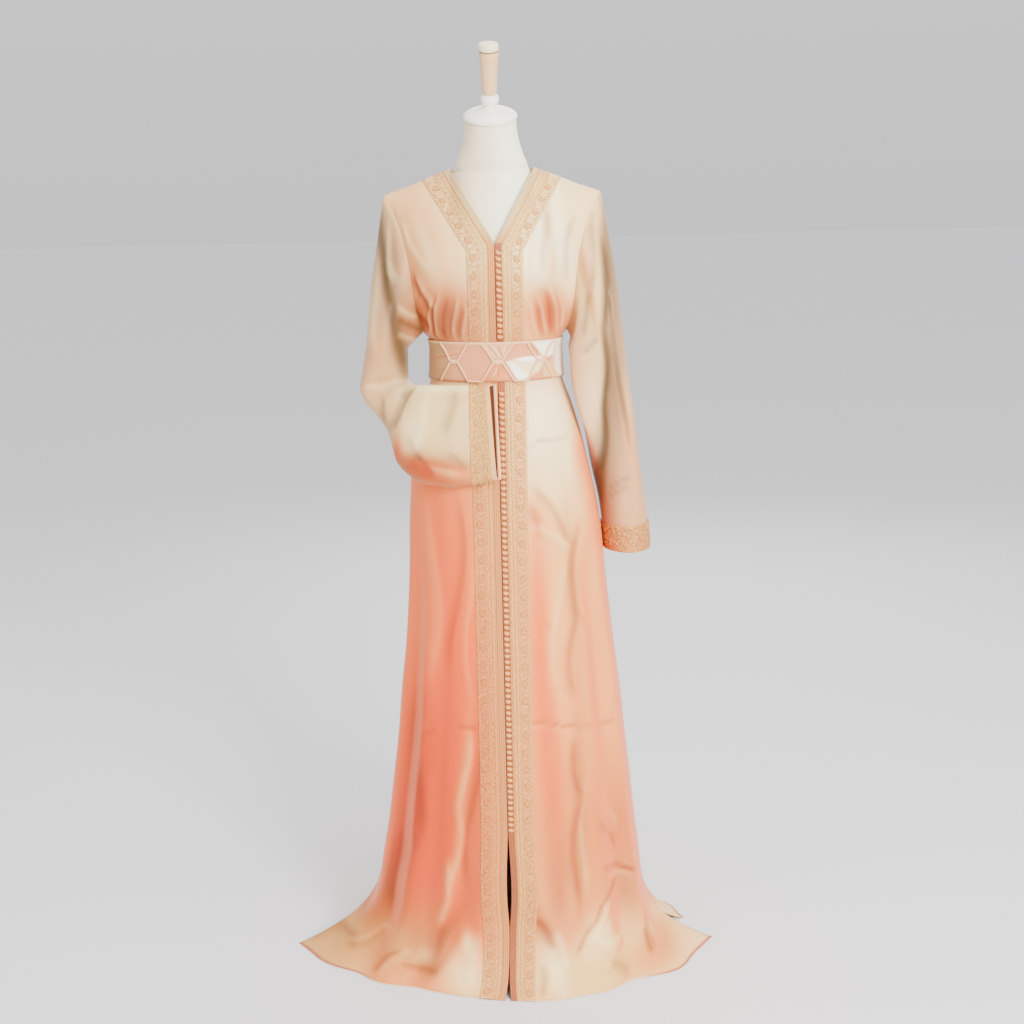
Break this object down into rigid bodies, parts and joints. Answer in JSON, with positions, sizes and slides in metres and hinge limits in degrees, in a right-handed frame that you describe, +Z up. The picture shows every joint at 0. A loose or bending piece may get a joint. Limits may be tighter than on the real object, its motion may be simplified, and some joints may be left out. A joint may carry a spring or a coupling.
{
  "type": "kaftan on a dress form",
  "caption": "Long satin kaftan with embroidered front bands, one bent and one hanging sleeve and a corded belt, standing on a limbless dress form with neck cap, handle, pole and round base.",
  "frame": {"origin": "centre of the stand base's flat underside, on the floor", "axes": "+Z up, -Y the front of the kaftan, +X the wearer's left (the viewer's right)"},
  "size_m": [0.8423, 0.5779, 1.7508],
  "materials": {
    "satin_coral": "coral and champagne satin, soft sheen",
    "satin_taupe": "rose beige satin, soft sheen",
    "gold_thread": "gold thread embroidery on satin",
    "braid_gold": "gold braid and corded knots",
    "belt_rose": "rose beige pleated satin",
    "cord_cream": "shiny cream cord",
    "form_white": "cream jersey over a padded form",
    "handle_wood": "pale wood, satin varnish",
    "stand_grey": "plain grey, satin"
  },
  "bodies": {
    "root": {"back": "satin_coral", "band_left": "gold_thread", "band_right": "gold_thread", "belt": "belt_rose", "belt_cord_lower": "cord_cream", "belt_cord_upper": "cord_cream", "braid_left": "braid_gold", "braid_right": "braid_gold", "buttons_bodice": "braid_gold", "buttons_skirt": "braid_gold", "cuff_left": "gold_thread", "cuff_right": "gold_thread", "form_cap": "form_white", "form_handle": "handle_wood", "form_torso": "form_white", "front_left": "satin_coral", "front_right": "satin_coral", "sleeve_left": "satin_taupe", "sleeve_right": "satin_taupe", "stand_base": "stand_grey", "stand_pole": "stand_grey"}
  },
  "joints": []
}
